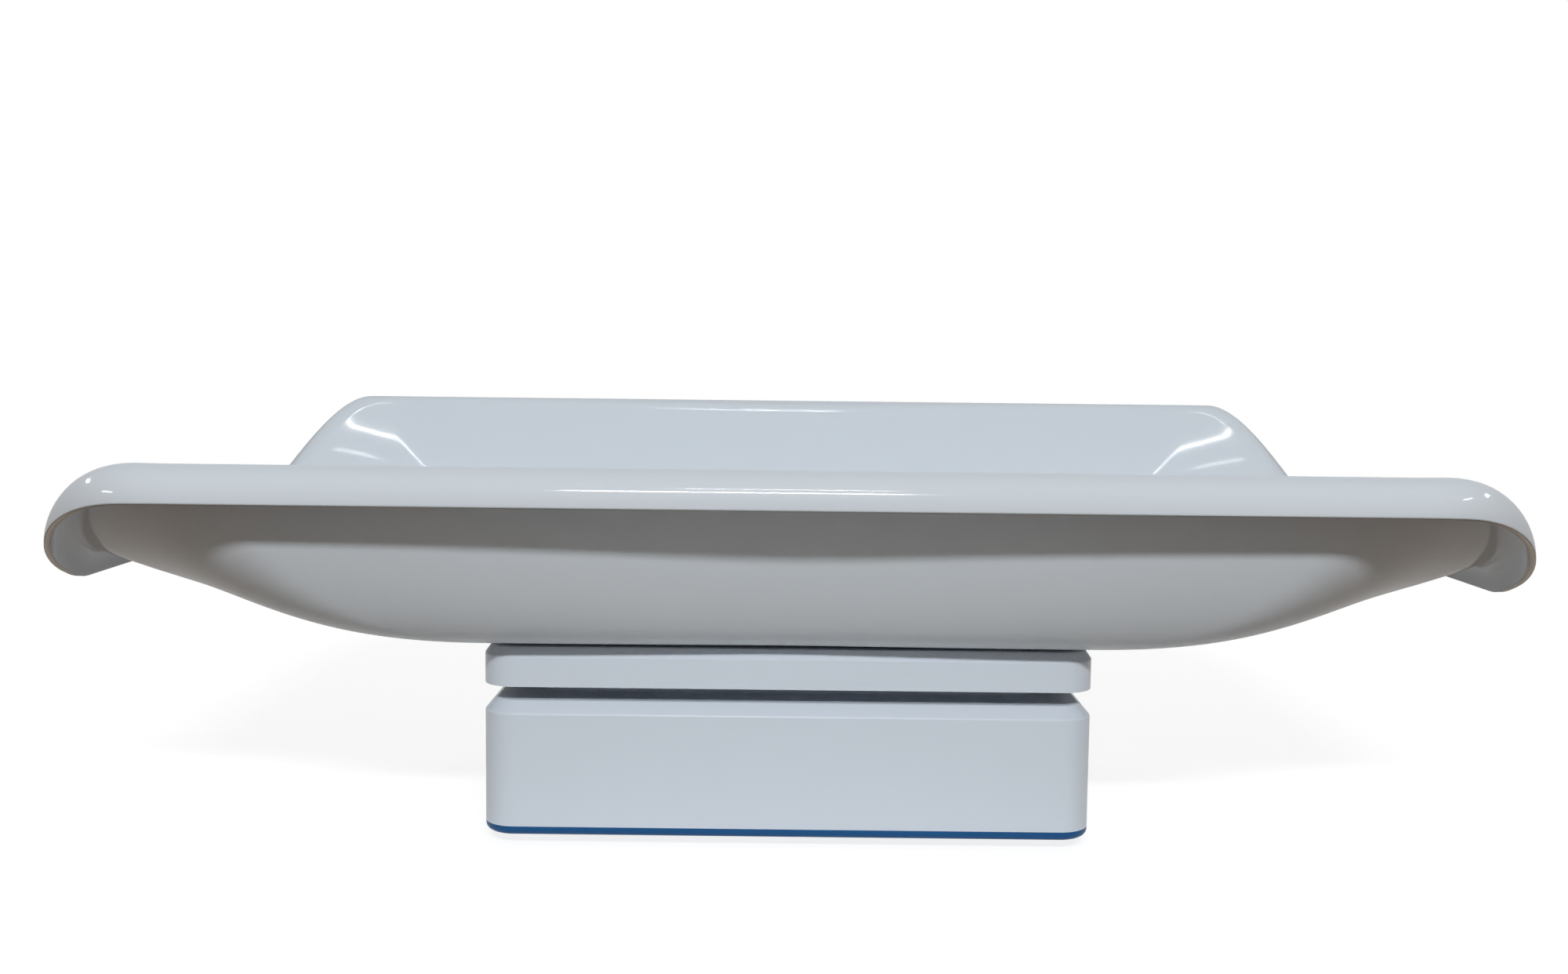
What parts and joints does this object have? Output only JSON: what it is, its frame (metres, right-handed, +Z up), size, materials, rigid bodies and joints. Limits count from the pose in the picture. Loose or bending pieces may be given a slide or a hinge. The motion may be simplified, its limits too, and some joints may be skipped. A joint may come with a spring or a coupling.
{
  "type": "baby weighing scale",
  "caption": "Digital baby weighing scale: a long white moulded tray with rolled lips and low scooped ends on a small square housing with a coloured bottom pan.",
  "frame": {"origin": "on the table, under the middle of the housing and of the tray", "axes": "+X runs along the tray, +Y points from the low rim to the high rim, +Z is up"},
  "size_m": [0.5458, 0.32, 0.1591],
  "materials": {
    "tray_plastic": "glossy",
    "housing_plastic": "satin",
    "blue_plastic": "satin",
    "rubber": "matte",
    "cast_alloy": "cast",
    "bar_alloy": "milled",
    "steel": "plated",
    "black_steel": "oxide",
    "sealant": "satin",
    "circuit_board": "satin",
    "black_plastic": "satin",
    "display_glass": "glossy",
    "clear_window": "clear",
    "key_plastic": "satin",
    "rocker_plastic": "glossy",
    "battery_case": "matte"
  },
  "bodies": {
    "base": {"base_pan": "blue_plastic", "base_cover": "housing_plastic", "rubber_feet": "rubber", "cover_screws": "steel", "load_cell": "bar_alloy", "gauge_covers": "sealant", "lower_spacer": "steel", "cell_screws_lower": "black_steel", "overload_stop": "black_steel", "stop_nut": "steel", "main_board": "circuit_board", "board_parts": "black_plastic", "display_board": "circuit_board", "display_module": "display_glass", "display_window": "clear_window", "tact_switches": "black_plastic", "switch_housing": "black_plastic", "charge_socket": "black_plastic", "socket_nut": "steel", "battery": "battery_case", "battery_clamp": "steel", "clamp_screws": "steel", "board_screws": "steel"},
    "platform": {"platform_plate": "housing_plastic", "support_spider": "cast_alloy", "spider_screws": "steel", "upper_spacer": "steel", "cell_screws_upper": "black_steel", "tray_pads": "rubber"},
    "tray_body": {"tray": "tray_plastic"},
    "power_key": {"key_power": "key_plastic"},
    "tare_key": {"key_tare": "key_plastic"},
    "hold_key": {"key_hold": "key_plastic"},
    "unit_key": {"key_unit": "key_plastic"},
    "rocker": {"power_rocker": "rocker_plastic"}
  },
  "joints": [
    {"name": "platform_travel", "type": "slide", "parent": "base", "child": "platform", "axis": [0, 0, 1], "range_m": [-0.0005, 0], "stiffness_N_per_m": 200000, "springref_m": 0.00015, "deforming": ["load_cell"]},
    {"name": "tray_lift", "type": "slide", "parent": "platform", "child": "tray_body", "axis": [0, 0, 1], "range_m": [0, 0.06]},
    {"name": "power_press", "type": "slide", "parent": "base", "child": "power_key", "axis": [0, -1, 0], "range_m": [0, 0.0006], "stiffness_N_per_m": 1500, "springref_m": -0.0004},
    {"name": "tare_press", "type": "slide", "parent": "base", "child": "tare_key", "axis": [0, -1, 0], "range_m": [0, 0.0006], "stiffness_N_per_m": 1500, "springref_m": -0.0004},
    {"name": "hold_press", "type": "slide", "parent": "base", "child": "hold_key", "axis": [0, -1, 0], "range_m": [0, 0.0006], "stiffness_N_per_m": 1500, "springref_m": -0.0004},
    {"name": "unit_press", "type": "slide", "parent": "base", "child": "unit_key", "axis": [0, -1, 0], "range_m": [0, 0.0006], "stiffness_N_per_m": 1500, "springref_m": -0.0004},
    {"name": "rocker_tip", "type": "hinge", "parent": "base", "child": "rocker", "pos_m": [-0.1145, -0.03, 0.03], "axis": [0, 0, 1], "range_deg": [-16, 0]}
  ]
}
